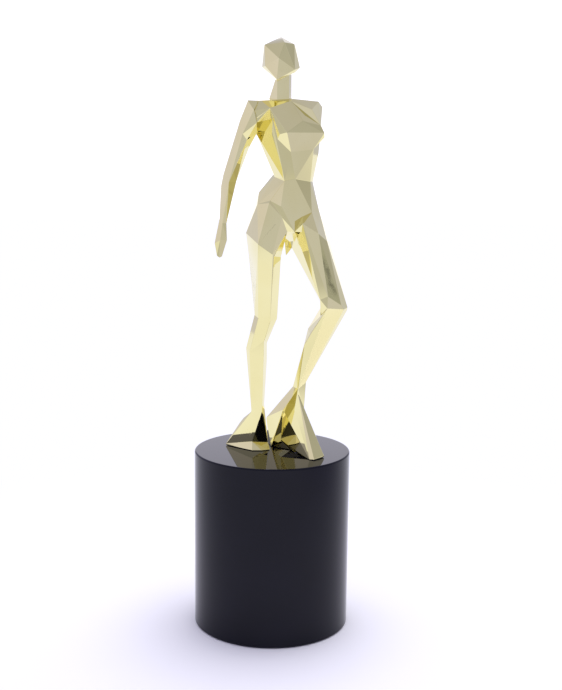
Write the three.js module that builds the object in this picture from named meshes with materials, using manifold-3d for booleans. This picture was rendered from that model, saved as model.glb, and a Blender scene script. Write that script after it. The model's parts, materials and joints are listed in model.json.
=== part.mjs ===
// Figure trophy: a faceted standing figure, plated pale gold, on a gloss black drum base.
// Millimetres, +Z up. The origin is the middle of the underside of the base, and the figure faces -Y.
// "Right" and "left" are the figure's own, so its right arm and standing leg lie towards -X.

import * as THREE from 'three';
import { ConvexGeometry } from 'three/addons/geometries/ConvexGeometry.js';
import { mergeVertices } from 'three/addons/utils/BufferGeometryUtils.js';
import Module from 'manifold-3d';

// ---- driving dimensions -------------------------------------------------------------------------

const FIGURE_HEIGHT = 207;      // soles to crown
const SCULPT_HEIGHT = 207;      // height that the landmarks of the figure are written for

const BASE_DIAMETER = 80;
const BASE_HEIGHT = 91.2;       // table to the top face that the figure stands on
const BASE_EDGE = 0.8;          // rounding of the top rim
const SHELL_WALL = 3.5;
const SHELL_TOP = 4.5;          // thickness under the figure's feet
const FIT = 0.3;                // gap left between two pieces that touch
const SEAM = 0.3;               // gap left at a soldered seam between two castings

const PLATE_THICKNESS = 2;      // under the screw heads' seats
const FELT_THICKNESS = 1.5;
const FELT_INSET = 1.5;         // the felt stops this far inside the plate's edge

const BALLAST_CLEARANCE = 1.2;   // between the ballast disc and the screw bosses
const BALLAST_HEIGHT = 14;
const BOSS_DIAMETER = 9;
const BOSS_SUNK = 0.8;          // how far each screw boss runs into the shell's wall

const DOWEL_DIAMETER = 2.5;
const DOWEL_LENGTH = 11;
const STUD_DIAMETER = 3;
const STUD_IN_FOOT = 9;
const STUD_BELOW_TOP = 8;       // length that hangs under the shell's top wall
const NUT_ACROSS_FLATS = 5.5;
const NUT_HEIGHT = 2.4;
const WASHER_DIAMETER = 9;
const WASHER_THICKNESS = 0.8;

const SCREW_DIAMETER = 3;
const SCREW_LENGTH = 10;
const SCREW_HEAD_DIAMETER = 5.6;
const SCREW_HEAD_HEIGHT = 1.4;
const BALLAST_BOLT_DIAMETER = 5;
const BALLAST_BOLT_HEAD_DIAMETER = 10;
const BALLAST_BOLT_HEAD_HEIGHT = 3;

const ROUND_SIDES = 96;         // facets round the large turned pieces
const PIN_SIDES = 24;           // facets round the small round pieces

// ---- materials ----------------------------------------------------------------------------------

const finish = (color, roughness, metalness) =>
  new THREE.MeshStandardMaterial({ color, roughness, metalness });
const paleGold = () => finish(0xd9cfa0, 0.06, 1);
const glossBlack = () => finish(0x14141a, 0.08, 0);
const castIron = () => finish(0x3a3a3c, 0.7, 0.6);
const zincSteel = () => finish(0xa9adb3, 0.35, 1);
const greyBoard = () => finish(0x2b2b2e, 0.6, 0);
const blackFelt = () => finish(0x101012, 0.95, 0);

// ---- solids -------------------------------------------------------------------------------------

const wasm = await Module();
wasm.setup();

const SPAN = 400;               // larger than the whole trophy, for cutting blocks

function solid(geometry) {
  const bare = geometry.clone();
  for (const name of Object.keys(bare.attributes)) if (name !== 'position') bare.deleteAttribute(name);
  const merged = mergeVertices(bare, 1e-4);
  return new wasm.Manifold(new wasm.Mesh({
    numProp: 3,
    vertProperties: new Float32Array(merged.attributes.position.array),
    triVerts: new Uint32Array(merged.index.array),
  }));
}

function geometryOf(manifold) {
  const mesh = manifold.getMesh();
  const geometry = new THREE.BufferGeometry();
  geometry.setAttribute('position', new THREE.BufferAttribute(new Float32Array(mesh.vertProperties), 3));
  geometry.setIndex(new THREE.BufferAttribute(new Uint32Array(mesh.triVerts), 1));
  const flat = geometry.toNonIndexed();
  flat.computeVertexNormals();
  return flat;
}

const join = (solids) => solids.reduce((sum, next) => sum.add(next));
const cut = (body, tools) => tools.reduce((rest, tool) => rest.subtract(tool), body);

// A solid of revolution about Z from a closed profile of [radius, height] pairs.
function turned(profile, sides = ROUND_SIDES) {
  const points = profile.map(([radius, height]) => new THREE.Vector2(radius, height));
  const lathe = new THREE.LatheGeometry(points, sides);
  lathe.rotateX(Math.PI / 2);
  return solid(lathe);
}

// A round rod from z = low to z = high, standing at [x, y].
function rod(diameter, low, high, [x, y] = [0, 0], sides = PIN_SIDES) {
  const cylinder = new THREE.CylinderGeometry(diameter / 2, diameter / 2, high - low, sides);
  cylinder.rotateX(Math.PI / 2);
  cylinder.translate(x, y, (low + high) / 2);
  return solid(cylinder);
}

// A round rod whose middle is at `centre` and whose axis runs along `direction`.
function rodAlong(diameter, length, centre, direction, sides = PIN_SIDES) {
  const cylinder = new THREE.CylinderGeometry(diameter / 2, diameter / 2, length, sides);
  const turn = new THREE.Quaternion().setFromUnitVectors(new THREE.Vector3(0, 1, 0), direction);
  cylinder.applyQuaternion(turn);
  cylinder.translate(centre.x, centre.y, centre.z);
  return solid(cylinder);
}

const aroundCircle = (count, radius, start = 0) => Array.from({ length: count }, (_, i) => {
  const angle = start + (i * 2 * Math.PI) / count;
  return [radius * Math.cos(angle), radius * Math.sin(angle)];
});

// ---- the figure: landmarks ----------------------------------------------------------------------
// Each landmark is [x, y, height above the soles], written for a figure of SCULPT_HEIGHT.

const figureScale = FIGURE_HEIGHT / SCULPT_HEIGHT;

const place = ([x, y, height]) => new THREE.Vector3(x, y, height)
  .multiplyScalar(figureScale)
  .add(new THREE.Vector3(0, 0, BASE_HEIGHT));

// A faceted block: the smallest convex body round some landmarks.
const block = (...landmarks) => solid(new ConvexGeometry(landmarks.flat().map(place)));
const all = (group) => Object.values(group);
const pick = (group, names) => names.split(' ').map((name) => {
  if (!group[name]) throw new Error(`no landmark ${name}`);
  return group[name];
});

const HEAD = {
  crown: [2.4, 2, 207], brow: [4.2, -9, 203], nose: [1.6, -11.5, 195.3],
  templeRight: [-5.6, -1.5, 202.8], templeLeft: [9, 0, 203.4], templeBackRight: [-6.4, 4, 202],
  templeBackLeft: [10, 5, 202.6], cheekLeft: [9.4, -4, 190.8], jawLeft: [11.9, 3, 192.4],
  underJawLeft: [9.6, -1, 189.8], cheekRight: [-5.2, -5.5, 192.2], jawRight: [-6.8, 2, 192.5],
  chin: [0.7, -11, 185.3], underJawRight: [0, -4.5, 185.8], backTop: [2.4, 11, 202],
  backLow: [2.8, 12.5, 194], napeRight: [-3, 9, 189.5], napeLeft: [8, 9, 189.5],
  nape: [3, 5.5, 187],
};

const NECK = {
  topFrontRight: [0.8, -4.5, 189], topFrontLeft: [6.6, -4, 190], topLeft: [7.8, 1, 191],
  topRight: [1, 1, 189], topBack: [4, 6.5, 191], baseFrontRight: [0.8, -5, 176.5],
  baseFrontLeft: [6.7, -4.5, 175.5], baseLeft: [7.9, 1, 176], baseRight: [-3.2, 1, 177],
  baseBack: [3, 7, 176],
};

const CHEST = {
  star: [-2.5, -13, 171.8], collarRight: [-7, -9, 175.5], collarMiddle: [2.8, -11, 171.6],
  collarLeft: [7.6, -7.5, 175.6], trapRight: [-3.2, 1, 177.5], trapLeft: [8.8, -4.5, 176.9],
  trapBack: [3.5, 7.5, 177], sternum: [13.5, -10, 166.1], bustTopLeft: [22.5, -2, 164.4],
  backMiddle: [6, 12.5, 170],
};

const RIGHT_SHOULDER = {
  front: [-9.7, -13, 170.7], top: [-10.5, -7.5, 175.5], back: [-9.5, 0, 174.8],
  pectoral: [-8.6, -12.5, 165], bladeTop: [-8.2, 5, 168],
};

const LEFT_SHOULDER = {
  deltoid: [17.9, -4.5, 171.9], deltoidLow: [19.8, -2.5, 167.5], top: [21.5, 8, 176.7],
  out: [23.6, 11, 174.2], low: [23.3, 10, 165.8], back: [19, 15, 174],
};

const BUST = {
  apexRight: [5.8, -16.2, 160.1], sideRight: [2.4, -14, 159.3], flankRight: [-0.7, -8.5, 153.2],
  ribRight: [7.8, -12.5, 151.3], apexLeft: [24.3, -2.5, 160.8], apexLeftLow: [24.5, -1.5, 158.6],
  ribLeft: [19, -4.5, 152.8], flankLeft: [21.8, 4, 151], latTop: [-9, -5, 166.5], latRight: [-9, -4, 159.6],
  latBackRight: [-8.9, 5, 161], bladeRight: [-3, 11.5, 160], bladeLeft: [18, 14.5, 160],
  outLeft: [23.4, 6, 163],
};

const WAIST = {
  right: [0, -1, 139.2], rightBack: [-0.8, 4, 140.4], navelRight: [4.9, -10.8, 137.2],
  navelLeft: [10.2, -11, 138.2], frontLeft: [17.7, -3, 137], left: [19, 2, 136.8],
  back: [14.5, 9.5, 139], backRight: [4.5, 9, 140],
};

const HIPS = {
  groin: [-1.9, -8.5, 127.6], belly: [3.3, -11.5, 125], pubisRight: [3.8, -11.5, 119.7],
  crotchRight: [6.4, -10.5, 112.6], crotchLeft: [10.1, -11.5, 112.6],
  frontRight: [-8.6, -1, 125.6], outRight: [-7.9, 5, 131.6], seatTopRight: [-9, 8, 127],
  bellyLeft: [16.3, -5.5, 129], frontLeft: [18.6, -6, 122.1], left: [22.4, 4, 122.9],
  flankLeft: [19.3, 4, 136.2], seatRight: [-14.5, 9, 110.8], seatBackRight: [-6, 15, 114],
  seatBackLeft: [12, 15.3, 114], seatLeft: [21.5, 12, 113], sacrum: [5, 12.5, 131],
  seatLowLeft: [10, 9, 107], seatLowRight: [-2, 11, 105],
};

const RIGHT_THIGH = {
  ridgeTop: [-2.6, -9.5, 126.4], ridgeLow: [-0.6, -11.5, 101.4], frontOut: [-7.9, -10, 106.3],
  innerFront: [2.9, -8.5, 108], innerLow: [0.1, -11, 100.4], innerMiddle: [3.5, -3.5, 99.6],
  seatLow: [-13, 6, 99.8], back: [-5, 11, 100], innerBack: [2.5, 6, 103],
};

const RIGHT_KNEE = {
  frontOut: [-7.6, -6.5, 69.2], frontIn: [-1.6, -8, 67.6], out: [-9.6, -1, 70.1],
  in: [1.9, -1, 68.2], back: [-5.5, 4, 69],
};

const RIGHT_CALF = {
  out: [-13.9, 2, 52.6], shinOut: [-11.9, -3.5, 51.4], shinIn: [-4.6, -6.5, 57.4],
  shinInLow: [-4.8, -6.3, 50.2], in: [-3.2, 0, 55.5], inLow: [-3.1, 2, 46.4],
  back: [-8.5, 7.5, 53], outLow: [-12.4, 1, 36],
};

const RIGHT_ANKLE = {
  frontOut: [-10.8, -3, 20.4], frontIn: [-5.2, -5.2, 24], in: [-4.3, -1, 24],
  back: [-7.5, 2.5, 22], out: [-11, 1, 19.6],
};

const RIGHT_FOOT = {
  instepTop: [-9.5, -2, 19], ankleIn: [-5.4, -5, 20.8], instep: [-14.8, 2.5, 16],
  instepLow: [-17, 3.5, 13], toe: [-24.3, 7, 1], wallMiddle: [-10.3, -2.5, 4.4],
  arch: [-2.3, 3, 2.8], ankleBack: [-5, 3.5, 14], heelBack: [-4.2, 6, 0], backOut: [-19, 12, 0],
  back: [-10, 11.5, 0], toeBack: [-23.4, 10, 0],
};

const RIGHT_SOLE = {
  toe: [-24.3, 7, 0], ball: [-10.3, -4.7, 0], arch: [-5.2, -4.5, 0], heel: [-1, -2.3, 0],
  heelIn: [-2, 2, 0],
};

const LEFT_THIGH = {
  top: [14.1, -6, 121.8], topOut: [18.6, -6, 121.8], out: [24, 1, 117], shelf: [13.9, -15, 116.7],
  outLow: [27.8, -5, 107.6], frontIn: [21.6, -18, 112.2], frontOut: [26, -13, 108.4],
  inFront: [11.2, -10, 110.6], inMiddle: [17.2, -13.5, 98.1], inBack: [9, 3, 103.7],
  back: [14, 12, 101],
};

const LEFT_KNEE = {
  in: [22.8, -20, 80.1], top: [26.5, -23, 82], out: [33.1, -21, 77.7], outBack: [36.6, -15, 75.9],
  lowIn: [23.2, -17, 71.8], lowMiddle: [26.2, -23, 76.2], lowOut: [34.5, -20.5, 75.6],
  lowOutBack: [36.5, -14.6, 74.6], back: [24, -9, 76],
};

const LEFT_CALF = {
  shinIn: [18.4, -13.5, 62.4], inLow: [15.6, -11, 56.5], back: [17.5, -4.5, 63.8],
  backLow: [14.7, 0, 52.2], outBack: [27, -8, 60],
};

const LEFT_ANKLE = {
  in: [10.3, -4, 33.9], front: [12.8, -8.5, 33.5], out: [16.8, -8, 36.9], back: [10.4, 2, 33.3],
  outBack: [16, 0, 35.5],
};

const LEFT_FOOT = {
  instepIn: [11.1, -8, 22.4], instepOut: [15.9, -8.5, 22.5], instepBack: [15.9, 0, 23],
  ankleFront: [12.8, -8.2, 31], toeInTop: [18.8, -20.5, 1.3], toeTop: [21, -22, 0.8],
  toeOutTop: [26.2, -16.5, 1], toeIn: [18.8, -21, 0], toe: [21, -22.2, 0],
  toeOut: [26.2, -16.2, 0], inTop: [5.4, -1, 21], inLow: [4.5, 0.5, 4.3], inSole: [9.2, -1.9, 0],
  outSole: [19, 0, 0], heelIn: [-0.7, 5, 0], heelRidge: [-3.4, 12.8, 13.8],
  heelRidgeTop: [2.2, 8.5, 20.6], heelBack: [-2.5, 13.5, 0], heelOut: [9, 12, 0],
  heelOutTop: [10, 9, 20],
};

const RIGHT_ARM = {
  capTop: [-13.2, -10, 175.6], capTopIn: [-8.3, -9, 175.5], capLow: [-10.2, -13.5, 171],
  capBack: [-13, -3, 175], capBackIn: [-8.5, 0, 173], armpit: [-8.7, -13.5, 165],
  armpitLow: [-9, -9, 160.2], armpitBack: [-9.5, -1.5, 162], outTop: [-17.1, -8, 166.2],
  outMiddle: [-20.6, -6.5, 155], frontMiddle: [-15.7, -12, 159.5], inFront: [-13.6, -11.5, 156.6],
  inBack: [-12.6, -5, 153.4], backMiddle: [-17.5, -2, 156], elbowOut: [-25.3, -6, 140],
  elbowLow: [-26.4, -6.5, 134.5], elbowFront: [-22.2, -13, 136.4], elbowIn: [-18.9, -9, 136.4],
  elbowInHigh: [-16.7, -7, 145.2], elbowBack: [-21.5, -1.5, 138.5], wristOut: [-27.1, -7.5, 118.4],
  wristFront: [-25.4, -10.5, 116.5], wristIn: [-23.5, -9, 116.5], wristBack: [-25.2, -6, 116.9],
  handOut: [-29.4, -9, 106.5], handFront: [-26.4, -12, 108.3], handIn: [-23.2, -9.8, 108],
  handBack: [-26, -7.5, 106.8], fingerOut: [-28.2, -10, 100.3], fingerTip: [-26.8, -11, 99.4],
  fingerIn: [-25.6, -10.3, 100], fingerBack: [-26.6, -9, 101.3],
};

const LEFT_ARM = {
  capTop: [20.5, 9, 176], capOut: [22.6, 13, 174], capBack: [17.5, 20.5, 172],
  capFront: [21.6, 10, 166.5], capIn: [14.5, 14, 167], outTop: [21.6, 20.5, 163.5],
  inTop: [15, 16.5, 161], outMiddle: [19, 24, 154], inMiddle: [13.2, 18, 155],
  elbowOut: [15.5, 27, 139], elbowIn: [10.6, 20.5, 140.5], elbowBack: [11.2, 27.5, 137.5],
  elbowFront: [15.6, 20.5, 141], wristOut: [9.6, 24.5, 118], wristIn: [5.8, 22.5, 118],
  wristBack: [7.4, 25.3, 117.4], wristFront: [8, 21, 118.2], handOut: [10, 20.3, 107],
  handIn: [5, 19.5, 109], handBack: [6.5, 22.5, 106.5], handFront: [8, 18.2, 108.5],
  fingerTip: [6, 18, 98.8], fingerBack: [6.8, 19.8, 99.6], fingerOut: [9.2, 18.6, 103],
};

// ---- the figure: blocks -------------------------------------------------------------------------

const headBlocks = () => [block(all(HEAD)), block(all(NECK))];

function torsoBlocks() {
  const chest = block(all(CHEST), pick(LEFT_SHOULDER, 'low back'));
  const rightShoulder = block(pick(CHEST, 'star collarRight trapRight backMiddle'), all(RIGHT_SHOULDER));
  const leftShoulder = block(pick(CHEST, 'collarLeft trapLeft trapBack bustTopLeft'), all(LEFT_SHOULDER));
  const bust = block(
    pick(CHEST, 'star sternum bustTopLeft backMiddle'),
    pick(LEFT_SHOULDER, 'low'),
    pick(BUST, 'apexRight sideRight flankRight ribRight apexLeft apexLeftLow ribLeft outLeft bladeLeft'),
  );
  const ribs = block(
    pick(CHEST, 'star backMiddle'),
    pick(RIGHT_SHOULDER, 'bladeTop'),
    pick(LEFT_SHOULDER, 'low'),
    pick(BUST, 'flankRight ribRight ribLeft flankLeft latTop latRight latBackRight bladeRight bladeLeft'),
    all(WAIST),
  );
  const pelvis = block(all(WAIST), all(HIPS));
  return [chest, rightShoulder, leftShoulder, bust, ribs, pelvis];
}

function rightLegBlocks() {
  const upper = block(
    all(RIGHT_THIGH),
    pick(HIPS, 'groin pubisRight crotchRight frontRight seatTopRight seatRight seatBackRight seatLowRight'),
  );
  const lower = block(
    pick(RIGHT_THIGH, 'ridgeLow frontOut innerLow innerMiddle seatLow back innerBack'),
    all(RIGHT_KNEE),
  );
  const calf = block(all(RIGHT_KNEE), pick(RIGHT_CALF, 'out shinOut shinIn in back'));
  const shin = block(all(RIGHT_CALF), all(RIGHT_ANKLE));
  const foot = block(all(RIGHT_ANKLE), all(RIGHT_FOOT));
  const sole = block(
    all(RIGHT_SOLE),
    pick(RIGHT_FOOT, 'toe wallMiddle arch heelBack backOut back toeBack'),
  );
  return [upper, lower, calf, shin, foot, sole];
}

function leftLegBlocks() {
  const hip = block(
    pick(HIPS, 'crotchLeft left frontLeft seatLeft seatBackLeft seatLowLeft'),
    pick(LEFT_THIGH, 'top topOut shelf out outLow frontIn frontOut inFront inBack back'),
  );
  const thigh = block(
    pick(LEFT_THIGH, 'shelf outLow frontIn frontOut inFront inMiddle inBack back'),
    pick(LEFT_KNEE, 'in top out outBack back'),
  );
  const knee = block(all(LEFT_KNEE));
  const calf = block(
    pick(LEFT_KNEE, 'lowIn lowMiddle lowOut lowOutBack back'),
    all(LEFT_CALF), all(LEFT_ANKLE),
  );
  const ankle = block(
    all(LEFT_ANKLE),
    pick(LEFT_FOOT, 'instepIn instepOut instepBack inTop'),
  );
  const forefoot = block(
    pick(LEFT_FOOT, 'ankleFront instepIn instepOut instepBack toeInTop toeTop toeOutTop toeIn toe toeOut'),
    pick(LEFT_FOOT, 'inTop inLow inSole outSole'),
  );
  const heel = block(
    pick(LEFT_ANKLE, 'in back'),
    pick(LEFT_FOOT, 'instepBack inTop inLow inSole outSole'),
    pick(LEFT_FOOT, 'heelIn heelRidge heelRidgeTop heelBack heelOut heelOutTop'),
  );
  return [hip, thigh, knee, calf, ankle, forefoot, heel];
}

function armBlocks(arm, joints) {
  return joints.map(([from, to]) => block(pick(arm, from), pick(arm, to)));
}

const rightArmBlocks = () => armBlocks(RIGHT_ARM, [
  ['capTop capTopIn capLow capBack capBackIn armpit armpitLow armpitBack',
    'outTop frontMiddle inFront inBack backMiddle'],
  ['outMiddle outTop frontMiddle inFront inBack backMiddle',
    'elbowOut elbowFront elbowIn elbowInHigh elbowBack'],
  ['elbowOut elbowLow elbowFront elbowIn elbowInHigh elbowBack', 'wristOut wristFront wristIn wristBack'],
  ['wristOut wristFront wristIn wristBack', 'handOut handFront handIn handBack'],
  ['handOut handFront handIn handBack', 'fingerOut fingerTip fingerIn fingerBack'],
]);

const leftArmBlocks = () => armBlocks(LEFT_ARM, [
  ['capTop capOut capBack capFront capIn', 'outTop inTop'],
  ['capBack capIn outTop inTop', 'outMiddle inMiddle'],
  ['outTop inTop outMiddle inMiddle', 'elbowOut elbowIn elbowBack elbowFront'],
  ['elbowOut elbowIn elbowBack elbowFront', 'wristOut wristIn wristBack wristFront'],
  ['wristOut wristIn wristBack wristFront', 'handOut handIn handBack handFront'],
  ['handOut handIn handBack handFront', 'fingerTip fingerBack fingerOut'],
]);

// ---- the figure: castings -----------------------------------------------------------------------
// The figure is cast in six pieces, which are doweled and soldered at the seams before plating.

// A cutting block: an outline of [x, height] corners carried right through the figure, front to back.
function slabFrom(outline) {
  const ends = [-SPAN, SPAN].map((y) => outline.map(([x, height]) => [x, y, height]));
  return block(...ends);
}

const NECK_SEAM = 180;                    // height of the neck seam
const RIGHT_ARM_SEAM = [[-9, 190], [-9, 145], [-18, 95]];   // shoulder seam, then the gap beside the flank
const HIP_SEAM_FLOOR = 85;                // below this height the legs are apart from everything else
const CROTCH = [8.25, 112.4];             // where both hip seams end
const RIGHT_HIP_SEAM_TOP = [-16, 123.5];
const LEFT_HIP_SEAM_TOP = [25, 125];
const LEFT_SHOULDER_SEAM = 15.6;          // depth of the left shoulder seam, behind the torso
const grow = SEAM / figureScale;          // a seam's gap, written in the landmarks' units

// Each zone holds one limb. Grown by the seam, it is what the torso gives up to that limb.
function headZone(gap) {
  const low = NECK_SEAM - gap;
  return slabFrom([[-SPAN, low], [SPAN, low], [SPAN, SPAN], [-SPAN, SPAN]]);
}

function rightArmZone(gap) {
  const seam = RIGHT_ARM_SEAM.map(([x, height]) => [x + gap, height]);
  const ends = [seam.at(-1), seam[0]].map(([, height]) => [-SPAN, height]);
  return slabFrom([...seam, ...ends]);
}

function leftArmZone(gap) {
  const near = LEFT_SHOULDER_SEAM - gap;
  const corners = [near, SPAN].flatMap((y) => [[-SPAN, y], [SPAN, y]]);
  return block(corners.map(([x, y]) => [x, y, HIP_SEAM_FLOOR]), corners.map(([x, y]) => [x, y, SPAN]));
}

function legZone(side, top, gap) {
  const middle = CROTCH[0] + side * (grow - gap);
  const outer = top[0] + side * SPAN;
  const floor = HIP_SEAM_FLOOR - 1;
  const hip = slabFrom([
    [middle, CROTCH[1] + gap], [top[0], top[1] + gap], [outer, top[1] + gap],
    [outer, floor], [middle, floor],
  ]);
  const below = slabFrom([[-SPAN, -SPAN], [SPAN, -SPAN], [SPAN, HIP_SEAM_FLOOR], [-SPAN, HIP_SEAM_FLOOR]]);
  return hip.add(below);
}

const LIMBS = {
  head: { blocks: headBlocks, zone: headZone },
  right_arm: { blocks: rightArmBlocks, zone: rightArmZone },
  left_arm: { blocks: leftArmBlocks, zone: leftArmZone },
  right_leg: { blocks: rightLegBlocks, zone: (gap) => legZone(-1, RIGHT_HIP_SEAM_TOP, gap) },
  left_leg: { blocks: leftLegBlocks, zone: (gap) => legZone(1, LEFT_HIP_SEAM_TOP, gap) },
};

// Dowels lie across the seams: [x, y, height] of the middle, and the direction of the axis.
const DOWELS = {
  neck_dowel: { at: [3.5, 0.8, NECK_SEAM], along: [0, 0, 1], joins: ['torso', 'head'] },
  right_shoulder_dowel: { at: [-7, -7.5, 170.5], along: [1, 0, 0], joins: ['torso', 'right_arm'] },
  left_shoulder_dowel: {
    at: [19.2, LEFT_SHOULDER_SEAM - 2.1, 170], along: [-0.2, 0.8, -0.57], joins: ['torso', 'left_arm'],
  },
  right_hip_dowel: { at: [-3, 2, 117.6], along: [0.416, 0, 0.909], joins: ['torso', 'right_leg'] },
  left_hip_dowel: { at: [16, 2.5, 118.4], along: [-0.6, 0, 0.8], joins: ['torso', 'left_leg'] },
};

// Studs stand in the soles and hold the figure down on the base: [x, y].
const STUDS = {
  right: { at: [-8, 3], joins: ['right_leg'] },
  left: { at: [13, -6], joins: ['left_leg'] },
};

const studPlace = ({ at: [x, y] }) => [x * figureScale, y * figureScale];
const studTop = BASE_HEIGHT + STUD_IN_FOOT;
const shellCeiling = BASE_HEIGHT - SHELL_TOP;
const studBottom = shellCeiling - STUD_BELOW_TOP;

const dowel = ({ at, along }, clearance) => rodAlong(
  DOWEL_DIAMETER + 2 * clearance, DOWEL_LENGTH + 2 * clearance,
  place(at), new THREE.Vector3(...along).normalize());

const studRod = (stud, clearance) => rod(
  STUD_DIAMETER + 2 * clearance, studBottom, studTop + clearance, studPlace(stud));

// The soles stop one fit above the base, on a film of adhesive.
const solePlane = rod(4 * BASE_DIAMETER, -SPAN, BASE_HEIGHT + FIT, [0, 0], 4);

function figureCastings() {
  const torsoOnly = join(torsoBlocks());
  const limbs = Object.entries(LIMBS)
    .map(([name, { blocks, zone }]) => ({ name, zone, body: join(blocks()) }));
  const meets = (name) => ({ joins }) => joins.includes(name);
  const holesFor = (name) => [
    ...Object.values(DOWELS).filter(meets(name)).map((seat) => dowel(seat, FIT)),
    ...Object.values(STUDS).filter(meets(name)).map((stud) => studRod(stud, FIT)),
  ];
  const castings = limbs.map(({ name, zone, body }) => {
    const piece = body.add(torsoOnly).intersect(zone(0));
    return [name, cut(piece, [solePlane, ...holesFor(name)])];
  });
  const whole = join([torsoOnly, ...limbs.map(({ body }) => body)]);
  const torso = cut(whole, limbs.map(({ zone }) => zone(grow)));
  return [['torso', cut(torso, holesFor('torso'))], ...castings];
}

// ---- the base -----------------------------------------------------------------------------------

const outerRadius = BASE_DIAMETER / 2;
const innerRadius = outerRadius - SHELL_WALL;
const rimLow = FELT_THICKNESS - 1;                 // the shell's rim clears the table by a little
const plateLow = FELT_THICKNESS + FIT;
const plateTop = plateLow + PLATE_THICKNESS + SCREW_HEAD_HEIGHT;
const rebateTop = plateTop + FIT;
const rebateRadius = outerRadius - SHELL_WALL / 2;
const plateRadius = rebateRadius - FIT;
const bossTop = rebateTop + SCREW_LENGTH + 2;
const bossCircle = innerRadius - BOSS_DIAMETER / 2 + BOSS_SUNK;
const bossPlaces = aroundCircle(3, bossCircle, Math.PI / 2);
const ballastRadius = bossCircle - BOSS_DIAMETER / 2 - BALLAST_CLEARANCE;
const screwTip = plateLow + SCREW_HEAD_HEIGHT + SCREW_LENGTH;
const ballastLow = plateTop + FIT;
const ballastTop = ballastLow + BALLAST_HEIGHT;

function roundedRim(radius, top, rounding, steps = 6) {
  return Array.from({ length: steps + 1 }, (_, i) => {
    const angle = (i / steps) * (Math.PI / 2);
    return [radius - rounding + rounding * Math.cos(angle), top - rounding + rounding * Math.sin(angle)];
  });
}

function baseShell() {
  const cup = turned([
    [0, shellCeiling], [innerRadius, shellCeiling], [innerRadius, rebateTop], [rebateRadius, rebateTop],
    [rebateRadius, rimLow], [outerRadius, rimLow], ...roundedRim(outerRadius, BASE_HEIGHT, BASE_EDGE),
    [0, BASE_HEIGHT],
  ]);
  const bosses = bossPlaces.map((at) => rod(BOSS_DIAMETER, rebateTop, bossTop, at));
  const screwHoles = bossPlaces.map((at) => rod(
    SCREW_DIAMETER + 2 * FIT, rebateTop - 1, screwTip + FIT, at));
  const studHoles = Object.values(STUDS).map((stud) => studRod(stud, FIT));
  return cut(join([cup, ...bosses]), [...screwHoles, ...studHoles]);
}

function bottomPlate() {
  const disc = turned([[0, plateLow], [plateRadius, plateLow], [plateRadius, plateTop], [0, plateTop]]);
  const screwHoles = bossPlaces.map((at) => rod(SCREW_DIAMETER + 2 * FIT, 0, rebateTop, at));
  const headSeats = bossPlaces.map((at) => rod(
    SCREW_HEAD_DIAMETER + 2 * FIT, 0, plateLow + SCREW_HEAD_HEIGHT + FIT, at));
  const boltHole = rod(BALLAST_BOLT_DIAMETER + 2 * FIT, 0, rebateTop);
  return cut(disc, [...screwHoles, ...headSeats, boltHole]);
}

function plateScrew(at) {
  const headTop = plateLow + SCREW_HEAD_HEIGHT;
  const head = rod(SCREW_HEAD_DIAMETER, plateLow, headTop, at);
  return head.add(rod(SCREW_DIAMETER, plateLow, screwTip, at));
}

function ballastWeight() {
  const bore = BALLAST_BOLT_DIAMETER / 2 + FIT;
  return turned([
    [bore, ballastLow], [ballastRadius, ballastLow], [ballastRadius, ballastTop],
    [bore, ballastTop], [bore, ballastLow],
  ]);
}

function ballastBolt() {
  const headLow = ballastTop + FIT;
  const shank = rod(BALLAST_BOLT_DIAMETER, plateLow, headLow + 1);
  const head = rod(BALLAST_BOLT_HEAD_DIAMETER, headLow, headLow + BALLAST_BOLT_HEAD_HEIGHT, [0, 0], 6);
  return shank.add(head);
}

function feltPad() {
  const radius = plateRadius - FELT_INSET;
  return turned([[0, 0], [radius, 0], [radius, FELT_THICKNESS], [0, FELT_THICKNESS]], 64);
}

function studWasher(stud) {
  const high = shellCeiling - FIT;
  const ring = rod(WASHER_DIAMETER, high - WASHER_THICKNESS, high, studPlace(stud));
  return ring.subtract(studRod(stud, FIT));
}

function studNut(stud) {
  const high = shellCeiling - 2 * FIT - WASHER_THICKNESS;
  const acrossCorners = NUT_ACROSS_FLATS / Math.cos(Math.PI / 6);
  return rod(acrossCorners, high - NUT_HEIGHT, high, studPlace(stud), 6).subtract(studRod(stud, FIT));
}

// ---- the assembly -------------------------------------------------------------------------------

const trophy = new THREE.Group();

function add(name, body, material) {
  const mesh = new THREE.Mesh(geometryOf(body), material);
  mesh.name = name;
  trophy.add(mesh);
}

for (const [name, casting] of figureCastings()) add(name, casting, paleGold());
for (const [name, seat] of Object.entries(DOWELS)) add(name, dowel(seat, 0), zincSteel());
for (const [side, stud] of Object.entries(STUDS)) {
  add(`${side}_foot_stud`, studRod(stud, 0), zincSteel());
  add(`${side}_stud_washer`, studWasher(stud), zincSteel());
  add(`${side}_stud_nut`, studNut(stud), zincSteel());
}
add('base_shell', baseShell(), glossBlack());
add('bottom_plate', bottomPlate(), greyBoard());
bossPlaces.forEach((at, i) => add(`plate_screw_${i + 1}`, plateScrew(at), zincSteel()));
add('ballast_weight', ballastWeight(), castIron());
add('ballast_bolt', ballastBolt(), zincSteel());
add('felt_pad', feltPad(), blackFelt());

export default trophy;
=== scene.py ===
"""The looks of the figure trophy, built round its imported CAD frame.

The figure is one skin of polished gold plate over castings with flat facets, the base a gloss black
drum. Everything is in metres, in the frame's own axes: +Z up, the figure facing -Y.
"""

import json
import logging
import math
from dataclasses import dataclass
from enum import Enum

import bmesh
import bpy
import numpy as np
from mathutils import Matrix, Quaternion, Vector
from mathutils.bvhtree import BVHTree

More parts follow.
